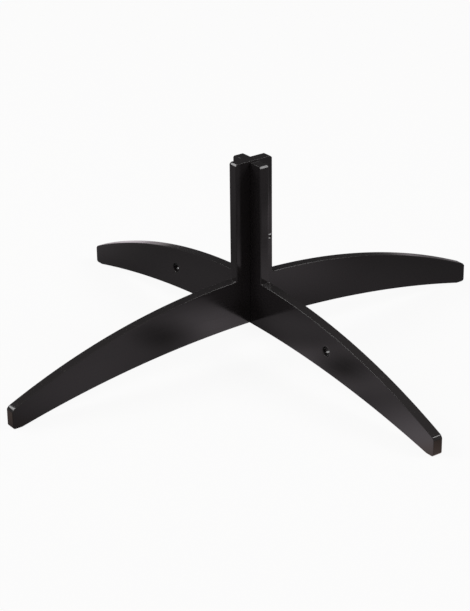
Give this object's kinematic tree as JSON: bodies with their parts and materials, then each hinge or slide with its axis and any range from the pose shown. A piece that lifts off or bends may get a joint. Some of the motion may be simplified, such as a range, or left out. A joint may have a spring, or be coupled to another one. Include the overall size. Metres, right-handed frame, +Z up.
{
  "type": "flute stand",
  "caption": "Low knock-down stand for a flute: arched moulded plates that cross in a halving joint, with a cross-shaped peg that the flute's foot joint slides over.",
  "frame": {"origin": "on the floor, under the middle of the peg", "axes": "+Z up along the peg, X along the upper plate's legs, Y along the lower plate's legs"},
  "size_m": [0.22, 0.22, 0.0795],
  "materials": {
    "lower_plate_plastic": "polished black",
    "upper_plate_plastic": "polished black"
  },
  "bodies": {
    "lower_plate": {"lower_plate": "lower_plate_plastic"},
    "upper_plate": {"upper_plate": "upper_plate_plastic"}
  },
  "joints": [
    {"name": "lift_off", "type": "slide", "parent": "lower_plate", "child": "upper_plate", "axis": [0, 0, 1], "range_m": [0, 0.07]}
  ]
}
